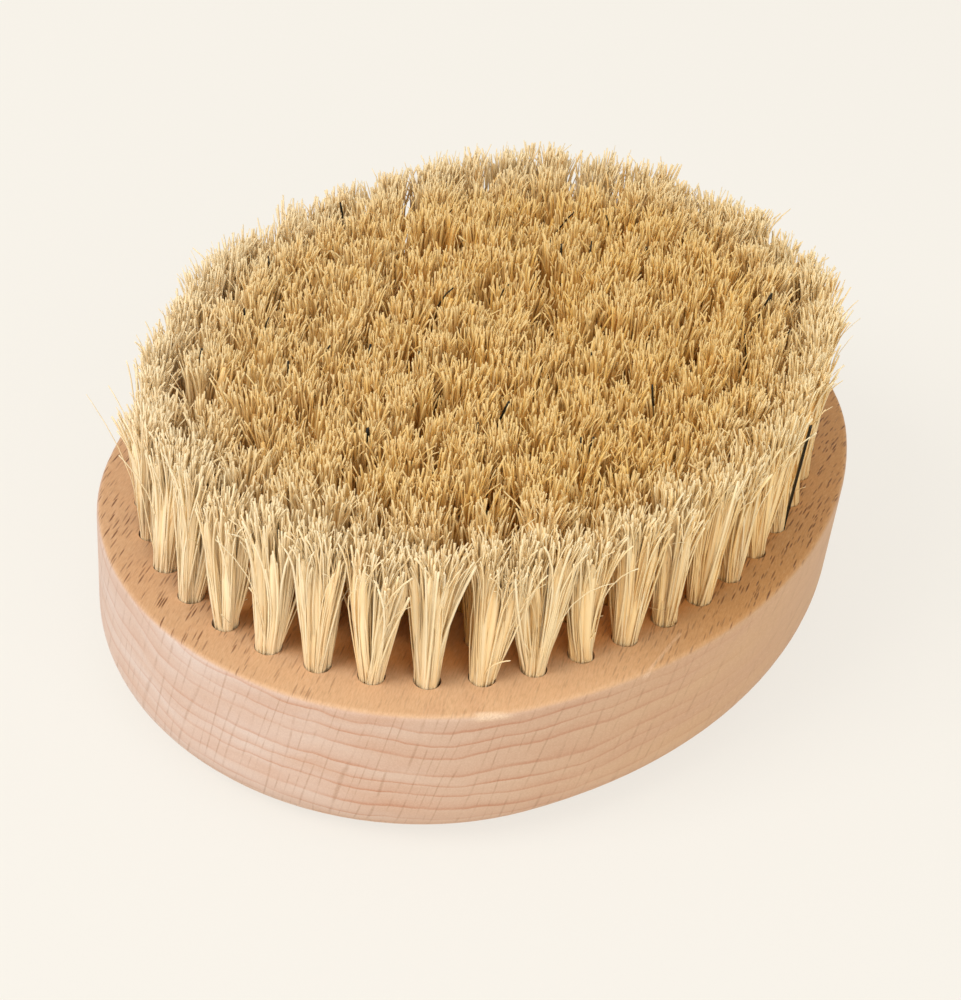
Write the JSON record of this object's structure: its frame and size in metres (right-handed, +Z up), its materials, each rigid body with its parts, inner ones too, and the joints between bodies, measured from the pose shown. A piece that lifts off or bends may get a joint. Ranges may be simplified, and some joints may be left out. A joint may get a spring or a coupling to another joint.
{
  "type": "vegetable brush",
  "caption": "Oval one-piece wooden vegetable brush with rings of stiff plant-fibre bristle tufts set in blind holes.",
  "frame": {"origin": "centre of the block's flat underside, which is the bottom centre of the whole brush", "axes": "+X along the oval's long axis, +Y across it, +Z up from the flat underside towards the bristle tips"},
  "size_m": [0.125, 0.098, 0.0454],
  "materials": {
    "beech_wood": "fine sanded, unfinished",
    "plant_fibre": "stiff pale straw plant fibre, cut ends",
    "anchor_steel": "plain drawn flat wire"
  },
  "bodies": {
    "root": {"wood_block": "beech_wood", "outer_ring_tufts": "plant_fibre", "ring_2_tufts": "plant_fibre", "ring_3_tufts": "plant_fibre", "ring_4_tufts": "plant_fibre", "ring_5_tufts": "plant_fibre", "ring_6_tufts": "plant_fibre", "centre_row_tufts": "plant_fibre", "outer_ring_anchors": "anchor_steel", "ring_2_anchors": "anchor_steel", "ring_3_anchors": "anchor_steel", "ring_4_anchors": "anchor_steel", "ring_5_anchors": "anchor_steel", "ring_6_anchors": "anchor_steel", "centre_row_anchors": "anchor_steel"}
  },
  "joints": []
}
